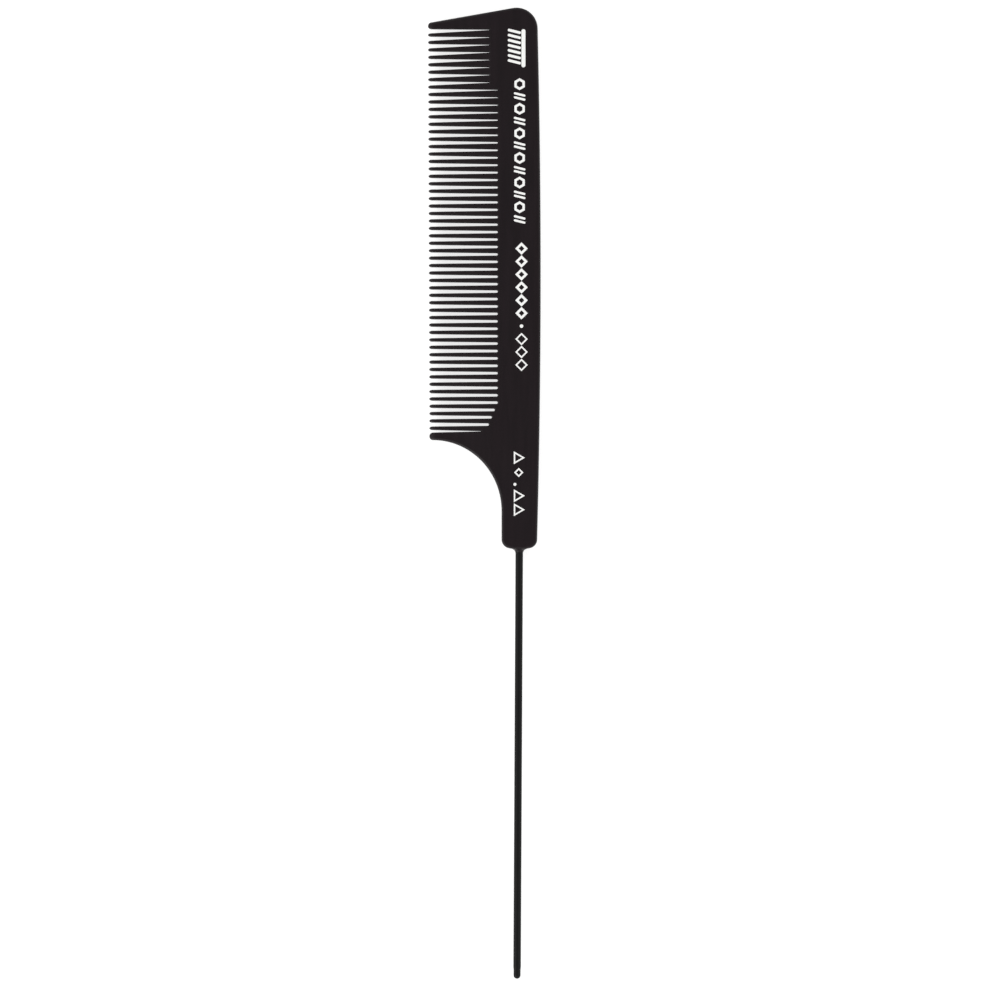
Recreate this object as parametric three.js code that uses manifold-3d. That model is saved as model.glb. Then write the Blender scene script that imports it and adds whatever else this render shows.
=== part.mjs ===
// A rat tail comb: a moulded comb with fine teeth, and the steel tail pin set in its handle.
// Millimetres. +X runs from the comb's head to the tip of the tail, the teeth point along -Y,
// and the comb lies flat on Z = 0. The origin is under the middle of the whole object.
import * as THREE from "three";
import { mergeVertices } from "three/addons/utils/BufferGeometryUtils.js";
import Module from "manifold-3d";

const wasm = await Module();
wasm.setup();

// Teeth
const toothCount = 54;
const toothPitch = 1.761;
const toothLength = 16.5; // of the first tooth
const toothShortening = 0.33; // how much shorter the last tooth is than the first
const toothTipLength = 0.8; // length of the round end of a tooth
const toothTipFlat = 0.02;
const tailCrowding = 0.22; // how much nearer the head the last tooth is than an even pitch puts it
const crowdedToothCount = 14; // teeth over which that builds up
const gapMouth = 0.89; // width of the slot between two teeth at their tips
const gapRoot = 0.57; // width of the slot at its root, near the tail
const firstGapRoot = 0.07; // width of the first square slot at its root
const gapRootGrowth = 10; // slots over which the root width grows to gapRoot
const wedgeGapCount = 8; // slots at the head that close to a point
const wedgeGapStop = 2; // how far short of the root line those slots stop
const wedgeGapRoot = 0.04;
const shortGapStep = 0.7; // each of the last slots is shorter than the one before by this
const shortGapCount = 3;
const lastGapMouth = 0.56;
const lastGapStop = 4; // how far short of the root line the slot beside the tail guard stops
const headLean = 0.34; // how far the root of the first slot leans to the head
const leaningGapCount = 16; // slots over which that lean fades out

// Guards at the two ends of the row of teeth
const headGuardRoom = 6.5; // from the head end to the middle of the first tooth
const tailGuardWidth = 1.84;
const headGuardTipRadius = 0.85; // of its outer corner
const headGuardNoseWidth = 0.66; // how much of its tip the round of its inner side takes up
const headGuardNoseLength = 1.05; // how far up the guard that round reaches
const tailGuardTipRadius = 0.86;

// Spine, head and handle
const spineDepth = 10.2; // from the root line of the teeth to the highest point of the back
const backRadius = 2400; // the back is a very gentle bow
const backPeakX = 63; // from the head end to the highest point of the back
const headCornerRadius = 5;
const headSlope = THREE.MathUtils.degToRad(10);
const heelLength = 16.79;
const handleStraight = 8.45; // the parallel part of the handle
const handleInset = 0.92; // from the root line of the teeth to the handle's near edge
const handleCornerRadius = 2.1;
const shoulderRise = 0.6; // how far the handle's end swells out to the pin
const shoulderHalfWidth = 1.1;

// Thickness
const bodyThickness = 4;
const tipThickness = 1.4;
const flatWidth = 11.6; // flat band along the back, before the faces taper to the tips
const edgeRadius = 0.4;

// Tail pin
const pinDiameter = 1.8;
const pinTipDiameter = 1.68;
const pinTipLength = 2.8;
const pinExposed = 101.7;
const pinBuried = 24;
const pinLean = THREE.MathUtils.degToRad(0.3);
const pinClearance = 0.05; // between the pin and the plastic moulded round it
const anchorGrooveCount = 4;
const anchorGroovePitch = 2.6;
const anchorGrooveDepth = 0.22;
const anchorGrooveWidth = 1.1;

// Facets
const arcSteps = 10;
const tipArcSteps = 4;
const pinSides = 24;

// Places that follow from the sizes above
const headX = 0;
const firstToothX = headX + headGuardRoom;
const lastToothX = toothX(toothCount - 1);
const toothTipWidth = toothPitch - gapMouth - toothTipFlat;
const lastGapX = lastToothX + (toothPitch - gapMouth + lastGapMouth) / 2;
const heelX = lastGapX + lastGapMouth / 2 + tailGuardWidth;
const handleStartX = heelX + heelLength;
const handleEndX = handleStartX + handleStraight;
const pinMouthX = handleEndX + shoulderRise;
const overallLength = pinMouthX + pinExposed;
const rootY = toothLength;
const backTopY = rootY + spineDepth;
const handleNearY = rootY + handleInset;
const backCentreX = headX + backPeakX;
const backCentreY = backTopY - backRadius;
const taperY = backTopY - flatWidth;
const midZ = bodyThickness / 2;
const pinMouthY = (handleNearY + backY(handleEndX)) / 2;

// Where a tooth stands along the comb: at an even pitch, and a little closer together near the tail.
function toothX(index) {
  const late = Math.max(0, (index - (toothCount - 1 - crowdedToothCount)) / crowdedToothCount);
  return firstToothX + index * toothPitch - tailCrowding * late ** 2;
}

// The height of the curved back at a place along the comb.
function backY(x) {
  return backCentreY + Math.sqrt(backRadius ** 2 - (x - backCentreX) ** 2);
}

// The height of the line that the tooth tips lie on: the teeth get a little shorter to the tail.
function tipLineY(x) {
  return (toothShortening * (x - firstToothX)) / (lastToothX - firstToothX);
}

// A closed three.js geometry as a solid that can be cut and joined.
function toSolid(geometry) {
  const bare = geometry.index ? geometry.toNonIndexed() : geometry.clone();
  bare.deleteAttribute("normal");
  bare.deleteAttribute("uv");
  const merged = mergeVertices(bare, 1e-4);
  const mesh = new wasm.Mesh({
    numProp: 3,
    vertProperties: merged.attributes.position.array,
    triVerts: new Uint32Array(merged.index.array),
  });
  return new wasm.Manifold(mesh);
}

// A finished solid as a geometry with flat facets.
function toGeometry(solid) {
  const mesh = solid.getMesh();
  const places = new Float32Array(mesh.numVert * 3);
  for (let i = 0; i < mesh.numVert; i++) {
    places.set(mesh.vertProperties.subarray(i * mesh.numProp, i * mesh.numProp + 3), i * 3);
  }
  const geometry = new THREE.BufferGeometry();
  geometry.setAttribute("position", new THREE.BufferAttribute(places, 3));
  geometry.setIndex(new THREE.BufferAttribute(mesh.triVerts, 1));
  const faceted = geometry.toNonIndexed();
  faceted.computeVertexNormals();
  return faceted;
}

// Rounds the corner of an outline that comes from one point and goes on to another.
function roundCorner(outline, from, corner, to, radius) {
  const back = from.clone().sub(corner).normalize();
  const ahead = to.clone().sub(corner).normalize();
  const halfAngle = back.angleTo(ahead) / 2;
  const reach = radius / Math.tan(halfAngle);
  const middle = back.clone().add(ahead).normalize();
  const centre = corner.clone().addScaledVector(middle, radius / Math.sin(halfAngle));
  const start = corner.clone().addScaledVector(back, reach).sub(centre);
  const end = corner.clone().addScaledVector(ahead, reach).sub(centre);
  const clockwise = start.cross(end) < 0;
  outline.absarc(centre.x, centre.y, radius, start.angle(), end.angle(), clockwise);
}

// The outline of the comb seen from above, with the teeth still one solid plate.
function bodyOutline() {
  const at = (x, y) => new THREE.Vector2(x, y);
  const outline = new THREE.Shape();

  // The head's slope touches the corner arc, and the arc touches the curved back.
  const cornerX = headX + headCornerRadius;
  const cornerReach = backRadius - headCornerRadius;
  const cornerY = backCentreY + Math.sqrt(cornerReach ** 2 - (cornerX - backCentreX) ** 2);
  const cornerTurn = Math.atan2(cornerY - backCentreY, cornerX - backCentreX);
  const slopeTurn = Math.PI + headSlope;
  const slopeTop = at(
    cornerX + headCornerRadius * Math.cos(slopeTurn),
    cornerY + headCornerRadius * Math.sin(slopeTurn),
  );
  const headTip = at(slopeTop.x + slopeTop.y * Math.tan(headSlope), 0);
  const tailTip = at(heelX, tipLineY(heelX));
  const heelDepth = handleNearY - tailTip.y - tailGuardTipRadius;

  roundCorner(outline, slopeTop, headTip, tailTip, headGuardTipRadius);
  roundCorner(outline, headTip, tailTip, at(heelX, rootY), tailGuardTipRadius);
  outline.absellipse(
    handleStartX, handleNearY - heelDepth,
    heelLength, heelDepth,
    Math.PI, Math.PI / 2, true,
  );

  // The handle's end: two rounded corners with a low shoulder rising to the pin.
  const handleFarY = backY(handleEndX);
  const nearEnd = at(handleEndX, handleNearY);
  const farEnd = at(handleEndX, handleFarY);
  const nearShoulder = at(pinMouthX, pinMouthY - shoulderHalfWidth);
  const farShoulder = at(pinMouthX, pinMouthY + shoulderHalfWidth);
  roundCorner(outline, at(handleStartX, handleNearY), nearEnd, nearShoulder, handleCornerRadius);
  outline.lineTo(nearShoulder.x, nearShoulder.y);
  outline.lineTo(farShoulder.x, farShoulder.y);
  roundCorner(
    outline, farShoulder, farEnd,
    at(handleStartX, backY(handleStartX)), handleCornerRadius,
  );

  const backEndX = handleStartX;
  const backTurn = Math.atan2(backY(backEndX) - backCentreY, backEndX - backCentreX);
  outline.absarc(backCentreX, backCentreY, backRadius, backTurn, cornerTurn, false);
  outline.absarc(cornerX, cornerY, headCornerRadius, cornerTurn, slopeTurn, false);
  return outline;
}

// The plate with rounded edges that the comb is cut from.
function bodyBlank() {
  const blank = new THREE.ExtrudeGeometry(bodyOutline(), {
    depth: bodyThickness - 2 * edgeRadius,
    curveSegments: arcSteps,
    bevelEnabled: true,
    bevelThickness: edgeRadius,
    bevelSize: edgeRadius,
    bevelOffset: -edgeRadius,
    bevelSegments: 3,
  });
  blank.translate(0, 0, edgeRadius);
  return toSolid(blank);
}

// A wedge along the whole comb: it leaves the back at full thickness and thins the teeth to their tips.
function thinningWedge() {
  const beyond = 2;
  const taper = (bodyThickness - tipThickness) / 2 / taperY;
  const halfAt = (y) => tipThickness / 2 + taper * y;
  const nearY = -beyond;
  const farY = backTopY + beyond;
  const section = new THREE.Shape([
    new THREE.Vector2(nearY, midZ - halfAt(nearY)),
    new THREE.Vector2(farY, midZ - halfAt(farY)),
    new THREE.Vector2(farY, midZ + halfAt(farY)),
    new THREE.Vector2(nearY, midZ + halfAt(nearY)),
  ]);
  const prism = new THREE.ExtrudeGeometry(section, {
    depth: pinMouthX + 2 * beyond,
    bevelEnabled: false,
  });
  prism.translate(0, 0, headX - beyond);
  const alongY = new THREE.Vector3(0, 1, 0);
  const alongZ = new THREE.Vector3(0, 0, 1);
  const alongX = new THREE.Vector3(1, 0, 0);
  prism.applyMatrix4(new THREE.Matrix4().makeBasis(alongY, alongZ, alongX));
  return toSolid(prism);
}

// Where each slot is, from the head guard to the tail guard, how far its root leans to the head,
// its width at the mouth and the root, and how far short of the root line it stops.
function gapSize(index) {
  const gap = {
    x: (toothX(index - 1) + toothX(index)) / 2,
    lean: headLean * Math.max(0, 1 - index / leaningGapCount),
    mouth: gapMouth - (toothPitch - (toothX(index) - toothX(index - 1))),
    root: wedgeGapRoot,
    stop: wedgeGapStop,
  };
  const fromTail = toothCount - index;
  if (index >= wedgeGapCount) {
    const growth = Math.exp((wedgeGapCount - index) / gapRootGrowth);
    gap.root = gapRoot - (gapRoot - firstGapRoot) * growth;
    gap.stop = shortGapStep * Math.max(0, shortGapCount + 1 - fromTail);
  }
  if (fromTail === 0) {
    gap.x = lastGapX;
    gap.mouth = lastGapMouth;
    gap.root = wedgeGapRoot;
    gap.stop = lastGapStop;
  }
  return gap;
}

// What is cut away for one slot, with a flared mouth that rounds the tooth tips beside it.
function gapCutter(index) {
  const gap = gapSize(index);
  const tipY = tipLineY(gap.x);
  const endY = rootY - gap.stop;
  const beyond = 2;
  const sideOf = (width, length) => {
    const side = [new THREE.Vector2(gap.mouth / 2 + width, tipY - beyond)];
    for (let step = 0; step <= tipArcSteps; step++) {
      const turn = ((tipArcSteps - step) / tipArcSteps) * (Math.PI / 2);
      const out = gap.mouth / 2 + width * (1 - Math.cos(turn));
      side.push(new THREE.Vector2(out, tipY + length * (1 - Math.sin(turn))));
    }
    side.push(new THREE.Vector2(gap.root / 2, endY));
    return side;
  };
  const tooth = sideOf(toothTipWidth / 2, toothTipLength);
  const headSide = index === 0 ? sideOf(headGuardNoseWidth, headGuardNoseLength) : tooth;
  const tailSide = index === toothCount ? sideOf(tailGuardTipRadius, tailGuardTipRadius) : tooth;
  const middle = (p) => gap.x - (gap.lean * Math.max(0, p.y - tipY)) / (endY - tipY);
  const right = tailSide.map((p) => new THREE.Vector2(middle(p) + p.x, p.y));
  const left = headSide.map((p) => new THREE.Vector2(middle(p) - p.x, p.y)).reverse();
  const cutter = new THREE.ExtrudeGeometry(new THREE.Shape([...right, ...left]), {
    depth: bodyThickness + 2 * beyond,
    bevelEnabled: false,
  });
  cutter.translate(0, 0, -beyond);
  return toSolid(cutter);
}

// Half the pin's outline, from its buried end, made larger all round for the socket it sits in.
function pinProfile(extra, length) {
  const radius = pinDiameter / 2;
  const chamfer = 0.2;
  const profile = [
    new THREE.Vector2(0, -extra),
    new THREE.Vector2(radius - chamfer + extra, -extra),
    new THREE.Vector2(radius + extra, chamfer - extra),
  ];
  for (let groove = 0; groove < anchorGrooveCount; groove++) {
    const start = anchorGroovePitch * (groove + 0.5);
    const inner = radius - anchorGrooveDepth + extra;
    profile.push(new THREE.Vector2(radius + extra, start));
    profile.push(new THREE.Vector2(inner, start + anchorGrooveDepth));
    profile.push(new THREE.Vector2(inner, start + anchorGrooveWidth - anchorGrooveDepth));
    profile.push(new THREE.Vector2(radius + extra, start + anchorGrooveWidth));
  }
  profile.push(new THREE.Vector2(radius + extra, length));
  return profile;
}

// The pin: straight, then a little slimmer near the end, with a ball tip that is kind to the scalp.
function pinGeometry() {
  const length = pinBuried + pinExposed / Math.cos(pinLean);
  const tipRadius = pinTipDiameter / 2;
  const easing = 0.6;
  const profile = pinProfile(0, length - pinTipLength);
  profile.push(new THREE.Vector2(tipRadius, length - pinTipLength + easing));
  for (let step = 0; step <= arcSteps / 2; step++) {
    const turn = (step / (arcSteps / 2)) * (Math.PI / 2);
    const out = step === arcSteps / 2 ? 0 : tipRadius * Math.cos(turn);
    profile.push(new THREE.Vector2(out, length - tipRadius + tipRadius * Math.sin(turn)));
  }
  return new THREE.LatheGeometry(profile, pinSides);
}

// The pocket in the handle that the moulding leaves round the buried end of the pin.
function socket(place) {
  const beyond = 2;
  const profile = pinProfile(pinClearance, pinBuried + beyond);
  profile.push(new THREE.Vector2(0, pinBuried + beyond));
  const pocket = new THREE.LatheGeometry(profile, pinSides);
  pocket.applyMatrix4(place);
  return toSolid(pocket);
}

// The moulded comb: the plate, thinned to the tips, slotted into teeth and bored for the pin.
function combGeometry(pinPlace) {
  let slots = gapCutter(0);
  for (let index = 1; index <= toothCount; index++) {
    slots = slots.add(gapCutter(index));
  }
  const plate = bodyBlank().intersect(thinningWedge());
  return toGeometry(plate.subtract(slots).subtract(socket(pinPlace)));
}

function mouldedPlastic() {
  return new THREE.MeshStandardMaterial({ color: 0x241f21, roughness: 0.45, metalness: 0 });
}

function blackCoatedSteel() {
  return new THREE.MeshStandardMaterial({ color: 0x222222, roughness: 0.35, metalness: 0.3 });
}

const pin = new THREE.Mesh(pinGeometry(), blackCoatedSteel());
pin.name = "tail_pin";
pin.rotation.z = -Math.PI / 2 - pinLean;
pin.position.set(
  pinMouthX - pinBuried * Math.cos(pinLean),
  pinMouthY + pinBuried * Math.sin(pinLean),
  midZ,
);
pin.updateMatrix();

const comb = new THREE.Mesh(combGeometry(pin.matrix), mouldedPlastic());
comb.name = "comb_body";

const assembly = new THREE.Group();
assembly.add(comb, pin);
assembly.position.set(-overallLength / 2, -backTopY / 2, 0);

const group = new THREE.Group();
group.add(assembly);
export default group;
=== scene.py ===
import math
from types import SimpleNamespace

import bpy
from bpy.props import FloatProperty, FloatVectorProperty, IntProperty, PointerProperty
from bpy.types import Operator, Panel, PropertyGroup
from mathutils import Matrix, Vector


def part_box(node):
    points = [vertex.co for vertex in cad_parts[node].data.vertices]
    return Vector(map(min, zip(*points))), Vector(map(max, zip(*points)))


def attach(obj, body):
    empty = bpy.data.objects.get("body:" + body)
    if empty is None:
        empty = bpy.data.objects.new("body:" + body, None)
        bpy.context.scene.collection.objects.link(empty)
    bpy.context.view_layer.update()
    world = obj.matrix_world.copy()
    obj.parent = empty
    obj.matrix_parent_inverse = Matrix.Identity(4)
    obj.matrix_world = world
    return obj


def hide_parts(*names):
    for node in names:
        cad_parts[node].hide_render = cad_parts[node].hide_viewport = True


bl_info = {
    "name": "Rat tail comb",
    "version": (1, 0, 0),
    "blender": (4, 5, 0),
    "location": "View3D > Sidebar > Comb",
    "description": "Fine model of a moulded comb with a steel tail pin, built round its CAD frame",
    "category": "Add Mesh",
}

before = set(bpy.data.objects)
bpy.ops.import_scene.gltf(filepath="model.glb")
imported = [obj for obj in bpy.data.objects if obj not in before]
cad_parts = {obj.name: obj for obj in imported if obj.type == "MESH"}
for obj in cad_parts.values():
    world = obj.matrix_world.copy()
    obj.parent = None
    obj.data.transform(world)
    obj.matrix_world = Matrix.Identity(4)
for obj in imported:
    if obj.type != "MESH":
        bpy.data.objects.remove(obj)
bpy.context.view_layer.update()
MM = 0.001

# The pieces are drawn on a bench in millimetres: x from the head's end, y from the tooth tips, z
# from the surface that the comb lies on. This is where the bench's origin is in the frame.
BENCH = Vector((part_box("comb_body")[0].x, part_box("comb_body")[0].y, 0))


def linear(code):
    """An sRGB hex colour as the linear values that a shader takes."""
    parts = [int(code[i:i + 2], 16) / 255 for i in (1, 3, 5)]
    return tuple(p / 12.92 if p <= 0.04045 else ((p + 0.055) / 1.055) ** 2.4 for p in parts)


def length(name, description, millimetres):
    """A property that holds a length, given in millimetres."""
    return FloatProperty(
        name=name, description=description, default=millimetres * MM, unit="LENGTH", precision=6,
    )


def colour(name, description, code):
    """A property that holds a colour, given as sRGB hex."""
    return FloatVectorProperty(
        name=name, description=description, default=linear(code), subtype="COLOR", min=0, max=1,
    )


class CombSizes(PropertyGroup):
    """Sizes of the moulded comb."""

    tooth_count: IntProperty(name="Teeth", description="Teeth between the two guards", default=54)
    tooth_pitch: length("Tooth pitch", "From the middle of one tooth to the next", 1.761)
    tooth_length: length("Tooth length", "Length of the first tooth", 16.5)
    tooth_shortening: length(
        "Shortening", "How much shorter the last tooth is than the first", 0.33,
    )
    gap_mouth: length("Slot mouth", "Width of a slot between two tooth tips", 0.89)
    gap_root: length("Slot root", "Width of a slot at its root, near the tail", 0.57)
    first_gap_root: length("First slot root", "Width of the first round slot at its root", 0.07)
    gap_root_growth: FloatProperty(
        name="Root growth", description="Slots over which the root width grows", default=10,
    )
    wedge_gap_count: IntProperty(
        name="Wedge slots", description="Slots at the head that close to a point", default=8,
    )
    wedge_gap_stop: length("Wedge stop", "How far short of the root line those slots stop", 2)
    wedge_gap_root: length("Wedge root", "Width of those slots at the root", 0.04)
    short_gap_step: length("Short slot step", "Each of the last slots is shorter by this", 0.7)
    short_gap_count: IntProperty(
        name="Short slots", description="Slots that get shorter", default=3,
    )
    last_gap_mouth: length("Last slot mouth", "Width of the slot beside the tail guard", 0.56)
    last_gap_stop: length("Last slot stop", "How far short of the root line it stops", 4)
    head_lean: length("Head lean", "How far the root of the first slot leans to the head", 0.34)
    leaning_gap_count: IntProperty(
        name="Leaning slots", description="Slots over which that lean fades out", default=16,
    )
    head_guard_room: length("Head guard room", "From the head's end to the first tooth", 6.5)
    tail_guard_width: length("Tail guard width", "Width of the guard at the tail", 1.84)
    head_guard_tip: length("Head guard tip", "Outer corner radius of the guard at the head", 0.85)
    head_guard_nose_width: length("Head guard nose", "Width of the round of its inner side", 0.66)
    head_guard_nose_length: length("Nose length", "How far up the guard that round reaches", 1.05)
    tail_guard_tip: length("Tail guard tip", "Corner radius of the guard at the tail", 0.86)
    tooth_tip_length: length("Tooth tip", "Length of the round end of a tooth", 0.8)
    tooth_tip_flat: length("Tooth tip flat", "Width of the blunt end of a tooth", 0.02)
    tail_crowding: length("Tail crowding", "How much nearer the head the last tooth is", 0.22)
    crowded_tooth_count: IntProperty(
        name="Crowded teeth", description="Teeth over which that builds up", default=14,
    )
    spine_depth: length("Spine depth", "From the root line to the top of the back", 10.197)
    back_radius: length("Back radius", "Radius of the bowed back", 2400)
    back_peak: length("Back peak", "From the head's end to the top of the back", 63)
    head_corner_radius: length("Head corner", "Radius of the corner of the head", 5)
    head_slope: FloatProperty(
        name="Head slope", description="Slope of the head's end", default=math.radians(10),
        subtype="ANGLE", unit="ROTATION",
    )
    heel_length: length("Heel", "Length of the curve from the tail guard to the handle", 16.79)
    handle_straight: length("Handle", "Length of the parallel part of the handle", 8.45)
    handle_inset: length("Handle inset", "From the root line to the handle's near edge", 0.92)
    handle_corner_radius: length("Handle corner", "Corner radius at the end of the handle", 2.1)
    shoulder_rise: length("Shoulder", "How far the handle's end swells out to the pin", 0.6)
    shoulder_half_width: length("Shoulder half width", "Half the width of that swelling", 1.1)
    body_thickness: length("Thickness", "Thickness of the spine", 4)
    tip_thickness: length("Tip thickness", "Thickness of the teeth at their tips", 1.4)
    flat_width: length("Flat band", "Flat band along the back, before the faces taper", 11.6)
    outer_rim: length("Outer rim", "Edge radius round the back, the head and the handle", 0.55)
    tooth_rim: length("Tooth rim", "Edge radius along the teeth and slots", 0.25)
    seam_height: length("Parting line", "How far the parting line stands out of the sides", 0.03)
    draft: length("Draft", "How far the sides draw in from the parting line to the rims", 0.03)


class PinSizes(PropertyGroup):
    """Sizes of the steel tail pin."""

    diameter: length("Diameter", "Diameter of the wire", 1.8)
    tip_diameter: length("Tip diameter", "Diameter of the ball tip", 1.68)
    tip_length: length("Tip length", "Length of the slimmer end", 2.8)
    exposed: length("Free length", "Length that stands out of the handle", 101.7)
    buried: length("Buried length", "Length moulded into the handle", 24)
    clearance: length("Clearance", "Between the pin and the plastic round it", 0.02)
    groove_pitch: length("Groove pitch", "From one anchor groove to the next", 2.6)
    groove_depth: length("Groove depth", "Depth of an anchor groove", 0.22)
    groove_width: length("Groove width", "Width of an anchor groove", 1.1)
    groove_count: IntProperty(
        name="Grooves", description="Anchor grooves at the buried end", default=4,
    )
    lean: FloatProperty(
        name="Lean", description="How far the pin leans away from the back",
        default=math.radians(0.3), subtype="ANGLE", unit="ROTATION",
    )


class MarkSizes(PropertyGroup):
    """Sizes of the printed marks."""

    film: length("Ink film", "How far the ink stands on the face of the comb", 0.02)
    sunk: length("Sunk", "How far a mark reaches into the plastic, so that no gap shows", 0.03)
    bold: length("Bold stroke", "Width of the bold strokes", 0.56)
    fine: length("Fine stroke", "Width of the fine strokes", 0.34)


class FinishColours(PropertyGroup):
    """Colours of the finishes and of the floor."""

    plastic: colour("Plastic", "Carbon-filled nylon", "#191215")
    coating: colour("Coating", "Black coating on the steel pin", "#191919")
    ink: colour("Ink", "Pad-printed ink", "#F4F4F2")
    floor: colour("Floor", "Matt floor under the comb", "#AFAFAE")


GROUPS = {
    "comb_sizes": CombSizes,
    "comb_pin": PinSizes,
    "comb_marks": MarkSizes,
    "comb_colours": FinishColours,
}


# ---------------------------------------------------------------- small tools

def in_mm(group):
    """A property group's values by name, with its lengths in millimetres."""
    values = {}
    for key in group.__annotations__:
        unit = group.bl_rna.properties[key].unit
        values[key] = getattr(group, key) * (1 / MM if unit == "LENGTH" else 1)
    return SimpleNamespace(**values)


def pick_only(*pieces):
    """Selects these objects and nothing else, and makes the first one active."""
    if bpy.context.object and bpy.context.object.mode != "OBJECT":
        bpy.ops.object.mode_set(mode="OBJECT")
    bpy.ops.object.select_all(action="DESELECT")
    for piece in pieces:
        piece.select_set(True)
    bpy.context.view_layer.objects.active = pieces[0] if pieces else None


def settle(piece, name):
    """Takes a piece from the bench to its place in the frame, and leaves its object at the origin.
    """
    pick_only(piece)
    piece.name = piece.data.name = name
    piece.location = BENCH
    piece.scale = (MM, MM, MM)
    bpy.ops.object.transform_apply(location=True, rotation=True, scale=True)
    return piece


def cut_or_join(piece, tool, operation):
    """Cuts a tool out of a piece, or joins it on, and uses the tool up."""
    pick_only(piece)
    bpy.ops.object.modifier_add(type="BOOLEAN")
    modifier = piece.modifiers[-1]
    modifier.object = tool
    modifier.operation = operation
    modifier.solver = "EXACT"
    bpy.ops.object.modifier_apply(modifier=modifier.name)
    bpy.data.objects.remove(tool)
    if not piece.data.polygons:
        raise RuntimeError(f"{piece.name} was lost when a tool was applied")


def check_closed(piece):
    """Stops if an edge of the piece doesn't have exactly two faces."""
    uses = {}
    for polygon in piece.data.polygons:
        for key in polygon.edge_keys:
            uses[key] = uses.get(key, 0) + 1
    loose = sum(1 for count in uses.values() if count != 2)
    if loose:
        raise RuntimeError(f"{piece.name} isn't closed: {loose} edges")


def arc(centre, radii, start, end, steps):
    """Points along part of an ellipse, both ends included."""
    turns = [start + (end - start) * step / steps for step in range(steps + 1)]
    return [
        Vector((centre[0] + radii[0] * math.cos(turn), centre[1] + radii[1] * math.sin(turn)))
        for turn in turns
    ]


def rounded_corner(before, corner, after, radius, steps):
    """Points along the arc that rounds a corner of an outline."""
    before, corner, after = Vector(before), Vector(corner), Vector(after)
    back, ahead = (before - corner).normalized(), (after - corner).normalized()
    half = back.angle(ahead) / 2
    centre = corner + (back + ahead).normalized() * (radius / math.sin(half))
    start = corner + back * (radius / math.tan(half)) - centre
    end = corner + ahead * (radius / math.tan(half)) - centre
    first = math.atan2(start.y, start.x)
    turn = (math.atan2(end.y, end.x) - first + math.pi) % (2 * math.pi) - math.pi
    return arc(centre, (radius, radius), first, first + turn, steps)


# ---------------------------------------------------------------- the comb's outline

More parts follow.
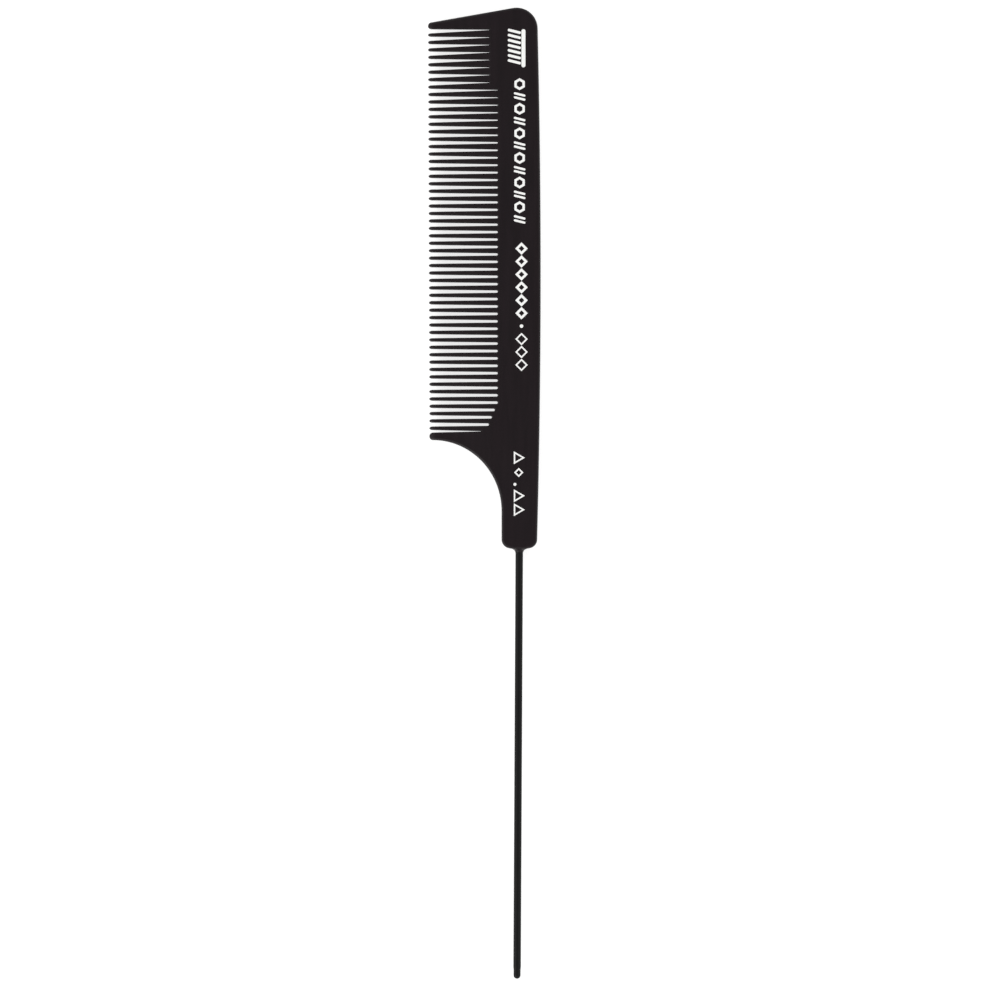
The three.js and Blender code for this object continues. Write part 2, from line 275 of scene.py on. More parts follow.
class CombPlan:
    """The places on the bench that follow from the comb's sizes."""

    def __init__(self, s, pin):
        self.s = s
        self.first_tooth = s.head_guard_room
        self.last_tooth = self.tooth(s.tooth_count - 1)
        self.tip_slope = s.tooth_shortening / (self.last_tooth - self.first_tooth)
        self.last_gap = self.last_tooth + (s.tooth_pitch - s.gap_mouth + s.last_gap_mouth) / 2
        self.heel = self.last_gap + s.last_gap_mouth / 2 + s.tail_guard_width
        self.handle_start = self.heel + s.heel_length
        self.handle_end = self.handle_start + s.handle_straight
        self.pin_mouth = self.handle_end + s.shoulder_rise
        self.root = s.tooth_length
        self.back_top = self.root + s.spine_depth
        self.handle_near = self.root + s.handle_inset
        self.back_centre = Vector((s.back_peak, self.back_top - s.back_radius))
        self.taper = self.back_top - s.flat_width
        self.pin_y = (self.handle_near + self.back(self.handle_end)) / 2
        self.pin_z = s.body_thickness / 2
        self.pin_base = Vector((
            self.pin_mouth - pin.buried * math.cos(pin.lean),
            self.pin_y + pin.buried * math.sin(pin.lean),
            self.pin_z,
        ))

    def tooth(self, index):
        """Where a tooth stands: at an even pitch, and a little closer together near the tail."""
        s = self.s
        late = max(0, (index - (s.tooth_count - 1 - s.crowded_tooth_count)) / s.crowded_tooth_count)
        return self.first_tooth + index * s.tooth_pitch - s.tail_crowding * late ** 2

    def back(self, x):
        """The height of the bowed back at a place along the comb."""
        across = x - self.back_centre.x
        return self.back_centre.y + math.sqrt(self.s.back_radius ** 2 - across ** 2)

    def tip_line(self, x):
        """The height of the line that the tooth tips lie on."""
        return self.tip_slope * max(0, x - self.first_tooth)

    def slot(self, index):
        """One slot's place and lean, its widths at the mouth and the root, and where it ends."""
        s = self.s
        x = (self.tooth(index - 1) + self.tooth(index)) / 2
        lean = s.head_lean * max(0, 1 - index / s.leaning_gap_count)
        mouth = s.gap_mouth - (s.tooth_pitch - (self.tooth(index) - self.tooth(index - 1)))
        root, stop = s.wedge_gap_root, s.wedge_gap_stop
        from_tail = s.tooth_count - index
        if index >= s.wedge_gap_count:
            growth = math.exp((s.wedge_gap_count - index) / s.gap_root_growth)
            root = s.gap_root - (s.gap_root - s.first_gap_root) * growth
            stop = s.short_gap_step * max(0, s.short_gap_count + 1 - from_tail)
        if from_tail == 0:
            x, mouth = self.last_gap, s.last_gap_mouth
            root, stop = s.wedge_gap_root, s.last_gap_stop
        return SimpleNamespace(x=x, lean=lean, mouth=mouth, root=root, end=self.root - stop)

    def slot_outline(self, index):
        """Up one side of a slot, round its root and down the other side, with half a tooth tip each
        side: points with their rim radius, which gets smaller where a tooth comes to its tip."""
        s = self.s
        slot = self.slot(index)
        low = self.tip_line(slot.x)
        tooth = ((s.tooth_pitch - s.gap_mouth - s.tooth_tip_flat) / 2, s.tooth_tip_length, 0.4)
        tips = {-1: tooth, 1: tooth}
        if index == 0:
            tips[-1] = (s.head_guard_nose_width, s.head_guard_nose_length, 1)
        if index == s.tooth_count:
            tips[1] = (s.tail_guard_tip, s.tail_guard_tip, 1)
        sides = {}
        for side, (width, reach, least) in tips.items():
            tip_y = self.tip_line(self.tooth(index - (side < 0)) if least < 1 else slot.x)
            centre = (slot.x + side * (slot.mouth / 2 + width), tip_y + reach)
            turn = 0 if side < 0 else -math.pi
            places = arc(centre, (width, reach), -math.pi / 2, turn, 7)
            rims = [least + (1 - least) * math.sin(step / 7 * math.pi / 2) for step in range(8)]
            sides[side] = [(place, s.tooth_rim * rim) for place, rim in zip(places, rims)]
        radius = max(slot.root / 2, 0.03)
        centre_y = slot.end - radius
        centre_x = slot.x - slot.lean * (centre_y - low) / (slot.end - low)
        root = arc((centre_x, centre_y), (radius, radius), math.pi, 0, 8)
        return sides[-1] + [(place, s.tooth_rim) for place in root] + sides[1][::-1]

    def outline(self):
        """The comb's outline, anticlockwise from the head guard: points with their rim radius."""
        s = self.s
        corner_x = s.head_corner_radius
        reach = s.back_radius - s.head_corner_radius
        across = corner_x - self.back_centre.x
        corner_y = self.back_centre.y + math.sqrt(reach ** 2 - across ** 2)
        corner_turn = math.atan2(corner_y - self.back_centre.y, across)
        slope_turn = math.pi + s.head_slope
        slope_top = Vector((
            corner_x + s.head_corner_radius * math.cos(slope_turn),
            corner_y + s.head_corner_radius * math.sin(slope_turn),
        ))
        head_tip = Vector((slope_top.x + slope_top.y * math.tan(s.head_slope), 0))
        tail_tip = Vector((self.heel, self.tip_line(self.heel)))
        heel_depth = self.handle_near - tail_tip.y - s.tail_guard_tip
        near_end = (self.handle_end, self.handle_near)
        far_end = (self.handle_end, self.back(self.handle_end))
        near_shoulder = Vector((self.pin_mouth, self.pin_y - s.shoulder_half_width))
        far_shoulder = Vector((self.pin_mouth, self.pin_y + s.shoulder_half_width))

        points = []

        def add(places, first_rim=None, last_rim=None):
            """Adds points with a rim radius that changes evenly, or points that bring their own."""
            if first_rim is not None:
                last_rim = first_rim if last_rim is None else last_rim
                growth = (last_rim - first_rim) / max(1, len(places) - 1)
                places = [(place, first_rim + growth * step) for step, place in enumerate(places)]
            for place, rim in places:
                if not points or (place - points[-1][0]).length > 0.004:
                    points.append((place, rim))

        outer, inner = s.outer_rim, s.tooth_rim
        nose = s.head_guard_tip * 0.7
        add(rounded_corner(slope_top, head_tip, tail_tip, s.head_guard_tip, 8), nose, inner)
        for index in range(s.tooth_count + 1):
            add(self.slot_outline(index))
        guard = rounded_corner(head_tip, tail_tip, (self.heel, self.root), s.tail_guard_tip, 8)
        add(guard, inner, outer)
        heel_centre = (self.handle_start, self.handle_near - heel_depth)
        add(arc(heel_centre, (s.heel_length, heel_depth), math.pi, math.pi / 2, 32), outer)
        start = (self.handle_start, self.handle_near)
        add(rounded_corner(start, near_end, near_shoulder, s.handle_corner_radius, 10), outer)
        add([near_shoulder, far_shoulder], outer)
        start = (self.handle_start, self.back(self.handle_start))
        add(rounded_corner(far_shoulder, far_end, start, s.handle_corner_radius, 10), outer)
        back_turn = math.atan2(
            self.back(self.handle_start) - self.back_centre.y,
            self.handle_start - self.back_centre.x,
        )
        radius = s.back_radius
        add(arc(self.back_centre, (radius, radius), back_turn, corner_turn, 40), outer)
        radius = s.head_corner_radius
        add(arc((corner_x, corner_y), (radius, radius), corner_turn, slope_turn, 16), outer)
        return points


# ---------------------------------------------------------------- modelling

def drawn_in(points):
    """For each point of an outline, the way into the material for one unit of inset."""
    ways = []
    count = len(points)
    for i, (place, _) in enumerate(points):
        ahead = (points[(i + 1) % count][0] - place).normalized()
        behind = (place - points[i - 1][0]).normalized()
        inward = Vector((-ahead.y - behind.y, ahead.x + behind.x)).normalized()
        cosine = max(0.5, inward.dot(Vector((-ahead.y, ahead.x))))
        ways.append(inward / cosine)
    return ways


def half_plate(plan, marks):
    """The upper half of the comb from its parting line: a wall raised in rings, closed on top."""
    s = plan.s
    points = plan.outline()
    ways = drawn_in(points)
    half = (s.body_thickness - marks.film) / 2

    # Each ring: its height as raised, how far it is drawn in, and how much of the rim radius it
    # takes.
    seam = s.seam_height
    rim_foot, rim_step, rim_steps = 0.5, 0.07, 6
    rings = [(0, 0, 0), (0.05, seam * 0.4, 0), (0.1, seam, 0), (rim_foot, seam + s.draft, 0)]
    for step in range(1, rim_steps + 1):
        turn = step / rim_steps * math.pi / 2
        rings.append((rim_foot + rim_step * step, seam + s.draft, 1 - math.cos(turn)))
    rings.append((1, seam + s.draft + 0.03, 1))

    bpy.ops.mesh.primitive_circle_add(vertices=len(points), radius=1, fill_type="NOTHING")
    plate = bpy.context.object
    plate.name = "plate"
    for vertex, (place, _) in zip(plate.data.vertices, points):
        vertex.co = (place.x, place.y, 0)

    bpy.ops.object.mode_set(mode="EDIT")
    bpy.ops.mesh.select_all(action="SELECT")
    for below, above in zip(rings, rings[1:]):
        rise = above[0] - below[0]
        bpy.ops.mesh.extrude_edges_move(TRANSFORM_OT_translate={"value": (0, 0, rise)})
    bpy.ops.mesh.edge_face_add()
    bpy.ops.object.mode_set(mode="OBJECT")

    # Every ring is drawn in to its place, found by where its points still stand over the outline.
    index_at = {(round(p.x, 4), round(p.y, 4)): i for i, (p, _) in enumerate(points)}
    heights = [ring[0] for ring in rings]
    for vertex in plate.data.vertices:
        i = index_at[(round(vertex.co.x, 4), round(vertex.co.y, 4))]
        ring = min(range(len(rings)), key=lambda r: abs(heights[r] - vertex.co.z))
        inset = rings[ring][1] + rings[ring][2] * points[i][1]
        place = points[i][0] + ways[i] * inset
        vertex.co = (place.x, place.y, heights[ring])

    # Cuts across the teeth give the faces points to bend at, where they round over to their tips
    # and taper. They run along the line of the tips, except for the straight crease below the flat
    # band.
    heights_above_tips = (0.24, 0.38, 0.54, 0.71, 1, 1.5, 2.2, 4, 8, 12)
    cuts = [((plan.first_tooth, height, 0), -plan.tip_slope) for height in heights_above_tips]
    cuts.append(((0, plan.taper, 0), 0))
    bpy.ops.object.mode_set(mode="EDIT")
    for place, slope in cuts:
        bpy.ops.mesh.select_all(action="SELECT")
        bpy.ops.mesh.bisect(plane_co=place, plane_no=(slope, 1, 0), threshold=1e-6)
    # Points that a cut left right beside another are merged, so that the plate stays closed.
    bpy.ops.mesh.select_all(action="SELECT")
    bpy.ops.mesh.remove_doubles(threshold=0.002)
    bpy.ops.object.mode_set(mode="OBJECT")

    # The height of each ring: full thickness along the back, and thinning down the teeth to their
    # round tips.
    tip_round = 1.6
    for vertex in plate.data.vertices:
        above_tip = vertex.co.y - plan.tip_line(vertex.co.x)
        down = min(1, max(0, vertex.co.y / plan.taper))
        thick = s.tip_thickness / 2 + (half - s.tip_thickness / 2) * down
        if above_tip < tip_round:
            thick *= 1 - 0.55 * (1 - max(0, above_tip) / tip_round) ** 2
        rim = thick * (0.8 - 0.54 * down ** 0.35)
        raised = vertex.co.z
        if raised < 0.2:
            z = raised * min(1, thick)
        elif raised > 0.95:
            z = thick
        else:
            turn = min(1, (raised - rim_foot) / (rim_step * rim_steps)) * math.pi / 2
            z = thick - rim + rim * math.sin(turn)
        vertex.co.z = z
    return plate, half


def turned(name, stations, base, lean, sides=48):
    """A turned piece along the pin's line: rings at each (distance, radius), with closed ends."""
    first = stations[0]
    bpy.ops.mesh.primitive_circle_add(
        vertices=sides, radius=first[1], fill_type="NGON", location=(0, 0, 0), enter_editmode=True,
    )
    piece = bpy.context.object
    piece.name = name
    bpy.ops.mesh.select_all(action="SELECT")
    for before, after in zip(stations, stations[1:]):
        step = (0, 0, after[0] - before[0])
        bpy.ops.mesh.extrude_region_move(TRANSFORM_OT_translate={"value": step})
        grow = max(after[1], 1e-3) / before[1]
        bpy.ops.transform.resize(value=(grow, grow, 1), center_override=(0, 0, after[0] - first[0]))
    if stations[-1][1] < 1e-3:
        bpy.ops.mesh.merge(type="CENTER")
    bpy.ops.mesh.select_all(action="SELECT")
    bpy.ops.mesh.normals_make_consistent(inside=False)
    bpy.ops.object.mode_set(mode="OBJECT")
    along = Vector((math.cos(lean), -math.sin(lean), 0))
    piece.rotation_euler = along.to_track_quat("Z", "Y").to_euler()
    piece.location = base + along * first[0]
    pick_only(piece)
    bpy.ops.object.transform_apply(location=True, rotation=True, scale=True)
    return piece


def pin_stations(pin):
    """The pin's rings: chamfer and anchor grooves at the buried end, wire, slimmer end, ball."""
    radius, tip = pin.diameter / 2, pin.tip_diameter / 2
    whole = pin.buried + pin.exposed / math.cos(pin.lean)
    stations = [(0, radius - 0.2), (0.2, radius)]
    for groove in range(pin.groove_count):
        start = pin.groove_pitch * (groove + 0.5)
        stations += [
            (start, radius),
            (start + pin.groove_depth, radius - pin.groove_depth),
            (start + pin.groove_width - pin.groove_depth, radius - pin.groove_depth),
            (start + pin.groove_width, radius),
        ]
    stations += [(pin.buried + 20 * step, radius) for step in range(5)]
    slim = whole - pin.tip_length
    ease = 0.012
    stations += [
        (slim, radius), (slim + 0.15, radius - ease), (slim + 0.45, tip + ease), (slim + 0.6, tip),
    ]
    for step in range(9):
        turn = step / 8 * math.pi / 2
        reach = tip * math.cos(turn) if step < 8 else 0
        stations.append((whole - tip + tip * math.sin(turn), reach))
    return stations


def film_mark(sides, radius, stroke, depth, turn=0.0, wide=1.0):
    """A flat printed shape: a polygon drawn in outline, or filled if it has no stroke."""
    bpy.ops.mesh.primitive_circle_add(
        vertices=sides, radius=radius, fill_type="NGON", rotation=(0, 0, turn), enter_editmode=True,
    )
    mark = bpy.context.object
    if stroke:
        bpy.ops.mesh.inset(thickness=stroke)
        bpy.ops.mesh.delete(type="FACE")
        bpy.ops.mesh.select_all(action="SELECT")
    bpy.ops.mesh.extrude_region_move(TRANSFORM_OT_translate={"value": (0, 0, depth)})
    bpy.ops.mesh.select_all(action="SELECT")
    bpy.ops.mesh.normals_make_consistent(inside=False)
    bpy.ops.object.mode_set(mode="OBJECT")
    mark.scale.x = wide
    pick_only(mark)
    bpy.ops.object.transform_apply(location=False, rotation=True, scale=True)
    return mark


def film_bar(across, high, depth, slant=0.0):
    """A flat printed stroke with rounded ends."""
    bpy.ops.mesh.primitive_cube_add(size=1, scale=(across, high, depth), location=(0, 0, depth / 2))
    mark = bpy.context.object
    bpy.ops.object.transform_apply(location=True, rotation=True, scale=True)
    bpy.ops.object.mode_set(mode="EDIT")
    bpy.ops.mesh.select_mode(type="EDGE")
    bpy.ops.mesh.select_all(action="DESELECT")
    bpy.ops.object.mode_set(mode="OBJECT")
    for edge in mark.data.edges:
        ends = [mark.data.vertices[v].co for v in edge.vertices]
        edge.select = abs(ends[0].z - ends[1].z) > depth / 2
    bpy.ops.object.mode_set(mode="EDIT")
    bpy.ops.mesh.bevel(offset=min(across, high) * 0.45, segments=4, clamp_overlap=True)
    bpy.ops.object.mode_set(mode="OBJECT")
    mark.rotation_euler.z = -slant
    bpy.ops.object.transform_apply(location=False, rotation=True, scale=False)
    return mark


def printed_row(name, placed, marks, sizes):
    """Copies each mark to its places on the face of the comb, and joins them into one row."""
    copies = []
    for mark, places in placed:
        for x, y in places:
            copy = mark.copy()
            copy.data = mark.data.copy()
            bpy.context.collection.objects.link(copy)
            copy.location = (x, y, sizes.body_thickness - marks.film - marks.sunk)
            copies.append(copy)
        bpy.data.objects.remove(mark)
    pick_only(*copies)
    bpy.ops.object.transform_apply(location=True, rotation=False, scale=False)
    bpy.ops.object.join()
    row = settle(bpy.context.object, name)
    check_closed(row)
    row.data.materials.clear()
    row.data.materials.append(printed_ink())
    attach(row, "root")
    return row


# ---------------------------------------------------------------- materials

def add_node(tree, kind, inputs=None, **settings):
    """Adds a node with its settings, and gives each input a value or a link from a socket."""
    made = tree.nodes.new(kind)
    for key, value in settings.items():
        setattr(made, key, value)
    for key, value in (inputs or {}).items():
        if isinstance(value, bpy.types.NodeSocket):
            tree.links.new(value, made.inputs[key])
        else:
            made.inputs[key].default_value = value
    return made


def new_material(name):
    """A new material with an empty node tree."""
    material = bpy.data.materials.new(name)
    material.use_nodes = True
    material.node_tree.nodes.clear()
    return material


def finish_material(tree, shader):
    """Links a shader to the material's output."""
    add_node(tree, "ShaderNodeOutputMaterial", {"Surface": shader.outputs[0]})


def moulded_nylon():
    """Carbon-filled nylon from a spark-eroded mould: near-black, satin, with a fine even grain,
    faint flow streaks along the spine, and tooth tips that handling has polished a little."""
    colours = bpy.context.scene.comb_colours
    material = new_material("carbon_filled_nylon_moulded")
    tree = material.node_tree
    place = add_node(tree, "ShaderNodeTexCoord").outputs["Object"]
    # Real spark-eroded grain is about 0.05 mm, too fine to show, so it is drawn at 0.2 mm.
    grain = add_node(tree, "ShaderNodeTexNoise", {
        "Vector": place, "Scale": 1 / 0.0002, "Detail": 3.0, "Roughness": 0.6,
    })
    # Flow streaks: the melt runs from the head to the handle, in bands about 1.5 mm wide.
    stretched = add_node(tree, "ShaderNodeMapping", {"Vector": place, "Scale": (0.12, 1.0, 1.0)})
    flow = add_node(tree, "ShaderNodeTexNoise", {
        "Vector": stretched.outputs[0], "Scale": 1 / 0.0015, "Detail": 2.0, "Distortion": 0.4,
    })
    streaks = add_node(tree, "ShaderNodeMapRange", {
        "Value": flow.outputs["Fac"], "From Min": 0.3, "From Max": 0.7,
        "To Min": 0.0, "To Max": 1.0,
    })
    deep = tuple(c * 0.86 for c in colours.plastic) + (1,)
    pale = tuple(c * 1.16 for c in colours.plastic) + (1,)
    tint = add_node(tree, "ShaderNodeMix", {
        "Factor": streaks.outputs[0], 6: deep, 7: pale,
    }, data_type="RGBA")
    # Roughness: satin on the spine, a little smoother at the tips, and uneven with the grain.
    apart = add_node(tree, "ShaderNodeSeparateXYZ", {"Vector": place})
    worn = add_node(tree, "ShaderNodeMapRange", {
        "Value": apart.outputs["Y"], "From Min": -0.0133, "From Max": -0.0075,
        "To Min": 0.28, "To Max": 0.36,
    })
    uneven = add_node(tree, "ShaderNodeMath", {
        0: grain.outputs["Fac"], 1: 0.12, 2: worn.outputs[0],
    }, operation="MULTIPLY_ADD")
    bump = add_node(tree, "ShaderNodeBump", {
        "Height": grain.outputs["Fac"], "Strength": 0.12, "Distance": 0.00003,
    })
    shader = add_node(tree, "ShaderNodeBsdfPrincipled", {
        "Base Color": tint.outputs[2], "Roughness": uneven.outputs[0], "Normal": bump.outputs[0],
        "IOR": 1.53, "Specular IOR Level": 0.19, "Metallic": 0.0,
    })
    finish_material(tree, shader)
    return material


def coated_steel():
    """Drawn steel wire with a thin black baked coating: smooth and a little glossy, with fine lines
    along the wire left by the drawing die, and slight unevenness of the coat."""
    colours = bpy.context.scene.comb_colours
    material = new_material("drawn_steel_black_coated")
    tree = material.node_tree
    place = add_node(tree, "ShaderNodeTexCoord").outputs["Object"]
    # Die lines are about 0.02 mm apart and run the whole length; they are drawn at 0.15 mm.
    along = add_node(tree, "ShaderNodeMapping", {"Vector": place, "Scale": (0.01, 1.0, 1.0)})
    lines = add_node(tree, "ShaderNodeTexNoise", {
        "Vector": along.outputs[0], "Scale": 1 / 0.00015, "Detail": 2.0,
    })
    # The coat is a little thicker in patches some 4 mm long.
    patches = add_node(tree, "ShaderNodeTexNoise", {
        "Vector": place, "Scale": 1 / 0.004, "Detail": 2.0,
    })
    rough = add_node(tree, "ShaderNodeMapRange", {
        "Value": lines.outputs["Fac"], "From Min": 0.3, "From Max": 0.7,
        "To Min": 0.27, "To Max": 0.36,
    })
    deep = tuple(c * 0.85 for c in colours.coating) + (1,)
    pale = tuple(c * 1.2 for c in colours.coating) + (1,)
    tint = add_node(tree, "ShaderNodeMix", {
        "Factor": patches.outputs["Fac"], 6: deep, 7: pale,
    }, data_type="RGBA")
    bump = add_node(tree, "ShaderNodeBump", {
        "Height": lines.outputs["Fac"], "Strength": 0.15, "Distance": 0.00001,
    })
    shader = add_node(tree, "ShaderNodeBsdfPrincipled", {
        "Base Color": tint.outputs[2], "Roughness": rough.outputs[0], "Normal": bump.outputs[0],
        "IOR": 1.5, "Specular IOR Level": 0.09, "Metallic": 0.0,
    })
    finish_material(tree, shader)
    return material


def printed_ink():
    """White pad-printing ink: matt, opaque, with tiny pinholes where the plastic shows through."""
    name = "pad_printing_ink_white"
    if name in bpy.data.materials:
        return bpy.data.materials[name]
    colours = bpy.context.scene.comb_colours
    material = new_material(name)
    tree = material.node_tree
    place = add_node(tree, "ShaderNodeTexCoord").outputs["Object"]
    # Pinholes follow the mould's grain, drawn at the same 0.2 mm.
    grain = add_node(tree, "ShaderNodeTexNoise", {
        "Vector": place, "Scale": 1 / 0.0002, "Detail": 2.0,
    })
    holes = add_node(tree, "ShaderNodeMapRange", {
        "Value": grain.outputs["Fac"], "From Min": 0.27, "From Max": 0.36,
        "To Min": 0.0, "To Max": 1.0,
    })
    through = tuple(c * 0.62 for c in colours.ink) + (1,)
    tint = add_node(tree, "ShaderNodeMix", {
        "Factor": holes.outputs[0], 6: through, 7: tuple(colours.ink) + (1,),
    }, data_type="RGBA")
    bump = add_node(tree, "ShaderNodeBump", {
        "Height": grain.outputs["Fac"], "Strength": 0.1, "Distance": 0.00001,
    })
    shader = add_node(tree, "ShaderNodeBsdfPrincipled", {
        "Base Color": tint.outputs[2], "Roughness": 0.6, "Normal": bump.outputs[0], "IOR": 1.5,
    })
    finish_material(tree, shader)
    return material


def light_table():
    """A matt white board, lit a little from below like a light table, so that the comb throws
    almost no shadow and the slots between its teeth stay bright."""
    colours = bpy.context.scene.comb_colours
    material = new_material("white_board_matt")
    tree = material.node_tree
    place = add_node(tree, "ShaderNodeTexCoord").outputs["Object"]
    mottle = add_node(tree, "ShaderNodeTexNoise", {
        "Vector": place, "Scale": 1 / 0.03, "Detail": 2.0,
    })
    deep = tuple(c * 0.985 for c in colours.floor) + (1,)
    tint = add_node(tree, "ShaderNodeMix", {
        "Factor": mottle.outputs["Fac"], 6: deep, 7: tuple(colours.floor) + (1,),
    }, data_type="RGBA")
    shader = add_node(tree, "ShaderNodeBsdfPrincipled", {
        "Base Color": tint.outputs[2], "Roughness": 0.9, "Specular IOR Level": 0.1,
        "Emission Color": (1.0, 1.0, 1.0, 1.0), "Emission Strength": 0.78,
    })
    finish_material(tree, shader)
    return material


# ---------------------------------------------------------------- operators

def bench_sizes(context):
    """The sizes in millimetres and the comb's plan."""
    scene = context.scene
    sizes, pin, marks = in_mm(scene.comb_sizes), in_mm(scene.comb_pin), in_mm(scene.comb_marks)
    return sizes, pin, marks, CombPlan(sizes, pin)


class COMB_OT_body(Operator):
    """Model the moulded comb: plate, teeth, heel and handle, with collar and bore for the pin"""

    bl_idname = "comb.body"
    bl_label = "Comb body"

    def execute(self, context):
        _, pin, marks, plan = bench_sizes(context)
        pick_only()
        plate, half = half_plate(plan, marks)
        pick_only(plate)

        # The lower half is the upper one turned over at the parting line.
        bpy.ops.object.modifier_add(type="MIRROR")
        mirror = plate.modifiers[-1]
        mirror.use_axis = (False, False, True)
        mirror.use_clip = mirror.use_mirror_merge = True
        mirror.merge_threshold = 0.001
        bpy.ops.object.modifier_apply(modifier=mirror.name)
        plate.location.z = half
        bpy.ops.object.transform_apply(location=True, rotation=False, scale=False)
        bpy.ops.object.mode_set(mode="EDIT")
        bpy.ops.mesh.select_all(action="SELECT")
        bpy.ops.mesh.normals_make_consistent(inside=False)
        bpy.ops.object.mode_set(mode="OBJECT")
        check_closed(plate)

        # A low round collar leads the end of the handle into the pin with a hollow curve. Each
        # station is a distance from the pin's mouth and a radius.
        mouth = pin.buried
        curve = [
            (-2.0, 1.5), (-0.7, 1.8), (-0.45, 1.84), (-0.25, 1.79), (-0.1, 1.66),
            (0.03, 1.44), (0.16, 1.24), (0.32, 1.09), (0.5, 1.0), (0.7, 0.965),
        ]
        stations = [(mouth + along, radius) for along, radius in curve]
        collar = turned("collar", stations, plan.pin_base, pin.lean)
        cut_or_join(plate, collar, "UNION")
        bore_radius = pin.diameter / 2 + pin.clearance
        stations = [(-0.05, bore_radius), (mouth + 3, bore_radius)]
        bore = turned("bore", stations, plan.pin_base, pin.lean)
        cut_or_join(plate, bore, "DIFFERENCE")

        comb = settle(plate, "comb_body_fine")
        check_closed(comb)
        pick_only(comb)
        bpy.ops.object.shade_smooth_by_angle(angle=math.radians(32))
        comb.data.materials.clear()
        comb.data.materials.append(moulded_nylon())
        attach(comb, "root")
        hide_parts("comb_body")
        return {"FINISHED"}


class COMB_OT_pin(Operator):
    """Model the steel tail pin with its anchor grooves and ball tip"""

    bl_idname = "comb.pin"
    bl_label = "Tail pin"

    def execute(self, context):
        _, pin, _, plan = bench_sizes(context)
        pick_only()
        piece = turned("pin", pin_stations(pin), plan.pin_base, pin.lean)
        piece = settle(piece, "tail_pin_fine")
        check_closed(piece)
        pick_only(piece)
        bpy.ops.object.shade_smooth_by_angle(angle=math.radians(30))
        piece.data.materials.clear()
        piece.data.materials.append(coated_steel())
        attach(piece, "root")
        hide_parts("tail_pin")
        return {"FINISHED"}


class COMB_OT_marks(Operator):
    """Print the four rows of plain marks on the spine and the handle"""

    bl_idname = "comb.marks"
    bl_label = "Printed marks"

    def execute(self, context):
        sizes, _, marks, _ = bench_sizes(context)
        depth = marks.film + marks.sunk
        pick_only()

        # A small picture of a comb at the head.
        slant = math.radians(14)
        spine = film_bar(9.0, 0.95, depth)
        tooth = film_bar(0.62, 3.2, depth, slant)
        teeth = [(5.7 + 1.2 * step, 20.45) for step in range(7)]
        printed_row("print_emblem", [(spine, [(9.7, 22.6)]), (tooth, teeth)], marks, sizes)

        # Hexagons and pairs of strokes along the spine.
        hexagon = film_mark(6, 1.42, marks.bold, depth, turn=math.radians(30))
        stroke = film_bar(0.52, 2.8, depth, slant)
        pitch, start, middle = 2.91, 18.2, 21.7
        hexagons = [(start + pitch * step, middle) for step in range(0, 12, 2)]
        strokes = [
            (start + pitch * step + side, middle)
            for step in range(1, 12, 2) for side in (-0.48, 0.48)
        ]
        printed_row("print_long_row", [(hexagon, hexagons), (stroke, strokes)], marks, sizes)

        # Bold diamonds, a dot and fine diamonds on the middle of the spine.
        bold = film_mark(4, 1.48, marks.bold, depth)
        dot = film_mark(16, 0.42, 0, depth)
        fine = film_mark(4, 1.48, marks.fine, depth)
        start, pitch, middle = 57.1, 3.06, 22.15
        places = [(start + pitch * step, middle) for step in range(10)]
        row = [(bold, places[:6]), (dot, places[6:7]), (fine, places[7:])]
        printed_row("print_middle_row", row, marks, sizes)

        # Fine triangles and dots on the handle.
        triangle = film_mark(3, 1.75, marks.fine, depth)
        small = film_mark(4, 1.1, marks.fine, depth)
        dot = film_mark(16, 0.36, 0, depth)
        row = [
            (triangle, [(106.6, 21.2), (115.6, 21.2), (118.9, 21.2)]),
            (small, [(110.1, 21.5)]), (dot, [(112.9, 20.6)]),
        ]
        printed_row("print_handle_row", row, marks, sizes)
        return {"FINISHED"}


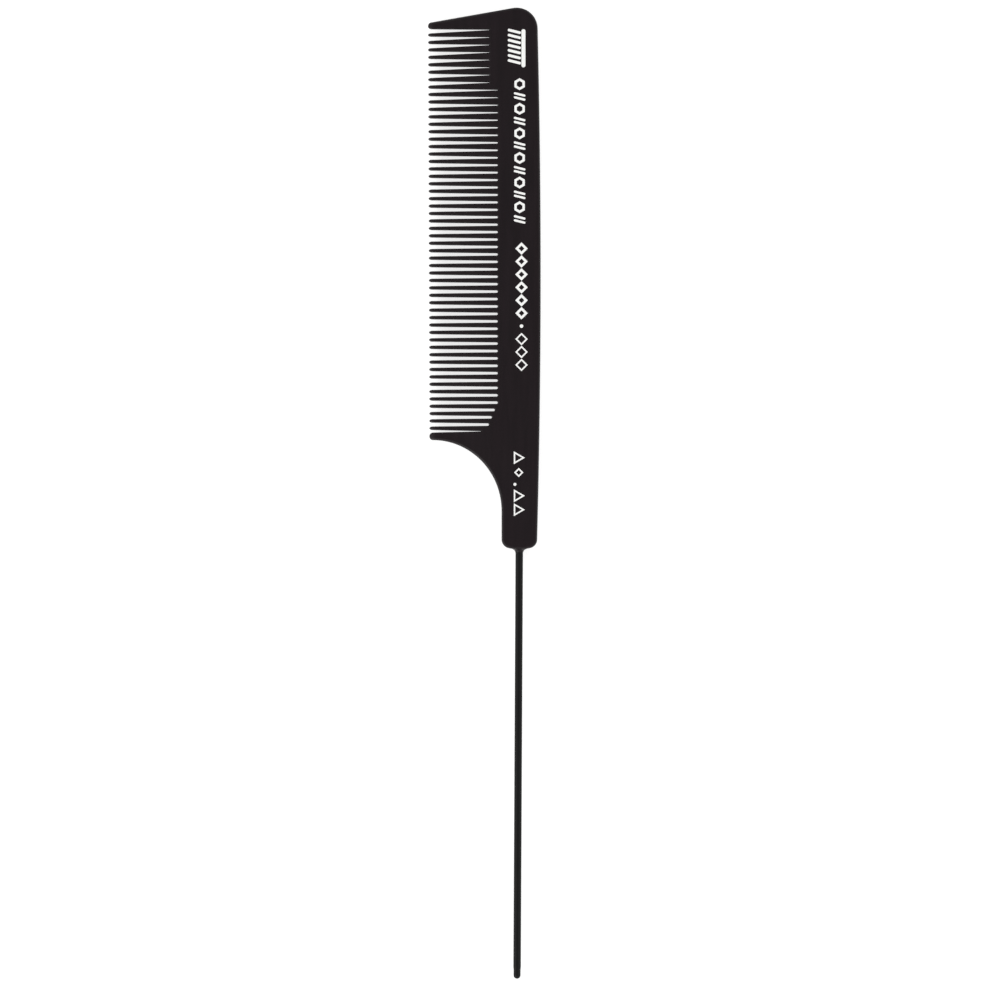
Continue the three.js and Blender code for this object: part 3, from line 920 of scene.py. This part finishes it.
class COMB_OT_stage(Operator):
    """Set the floor, the studio light and the camera"""

    bl_idname = "comb.stage"
    bl_label = "Stage"

    def execute(self, context):
        pick_only()
        bpy.ops.mesh.primitive_plane_add(size=12, location=(0, 0, -0.00002))
        floor = context.object
        floor.name = "floor"
        floor.data.materials.append(light_table())

        # Soft light from all round, pale at the horizon, strongest half way up and dim straight
        # above, so that the satin faces of the comb don't mirror it back up.
        world = bpy.data.worlds.new("studio")
        world.use_nodes = True
        tree = world.node_tree
        tree.nodes.clear()
        way = add_node(tree, "ShaderNodeTexCoord").outputs["Generated"]
        apart = add_node(tree, "ShaderNodeSeparateXYZ", {"Vector": way})
        ramp = add_node(tree, "ShaderNodeValToRGB", {"Fac": apart.outputs["Z"]})
        stops = [
            (0.0, 1.0), (0.01, 1.0), (0.06, 0.8), (0.3, 0.75),
            (0.5, 1.5), (0.72, 1.35), (0.87, 0.35), (1.0, 0.15),
        ]
        elements = ramp.color_ramp.elements
        while len(elements) < len(stops):
            elements.new(0.5)
        for element, (position, level) in zip(elements, stops):
            element.position = position
            element.color = (level, level, level, 1)
        background = add_node(tree, "ShaderNodeBackground", {"Color": ramp.outputs["Color"]})
        add_node(tree, "ShaderNodeOutputWorld", {"Surface": background.outputs[0]})
        context.scene.world = world

        # A broad soft light over the handle's side gives the oblique views some modelling.
        bpy.ops.object.light_add(type="AREA", location=(0.7, -0.9, 0.75))
        key = context.object
        key.name = "soft_key"
        key.data.shape = "DISK"
        key.data.size = 0.9
        key.data.energy = 6
        key.rotation_euler = (-Vector(key.location)).to_track_quat("-Z", "Y").to_euler()

        place, turn = (0.00161, 0.00371, 2.63332), (0, 0, math.pi / 2)
        bpy.ops.object.camera_add(location=place, rotation=turn)
        camera = context.object
        camera.data.lens = 400
        camera.data.sensor_width = 36
        camera.data.dof.use_dof = False
        context.scene.camera = camera
        context.scene.view_settings.view_transform = "Standard"
        context.scene.view_settings.look = "None"
        return {"FINISHED"}


class COMB_PT_panel(Panel):
    """The comb's sizes, colours and operators"""

    bl_idname = "COMB_PT_panel"
    bl_label = "Rat tail comb"
    bl_space_type = "VIEW_3D"
    bl_region_type = "UI"
    bl_category = "Comb"

    def draw(self, context):
        for operator in OPERATORS:
            self.layout.operator(operator.bl_idname)
        for name, group in GROUPS.items():
            box = self.layout.box()
            box.label(text=group.__doc__)
            for key in group.__annotations__:
                box.prop(getattr(context.scene, name), key)


OPERATORS = (COMB_OT_stage, COMB_OT_body, COMB_OT_pin, COMB_OT_marks)


def register():
    for group in GROUPS.values():
        bpy.utils.register_class(group)
    for operator in OPERATORS:
        bpy.utils.register_class(operator)
    bpy.utils.register_class(COMB_PT_panel)
    for name, group in GROUPS.items():
        setattr(bpy.types.Scene, name, PointerProperty(type=group))


def unregister():
    for name in GROUPS:
        delattr(bpy.types.Scene, name)
    bpy.utils.unregister_class(COMB_PT_panel)
    for operator in reversed(OPERATORS):
        bpy.utils.unregister_class(operator)
    for group in reversed(GROUPS.values()):
        bpy.utils.unregister_class(group)


def main():
    """Builds everything in order."""
    register()
    bpy.ops.comb.stage()
    bpy.ops.comb.body()
    bpy.ops.comb.pin()
    bpy.ops.comb.marks()


if __name__ == "__main__":
    main()
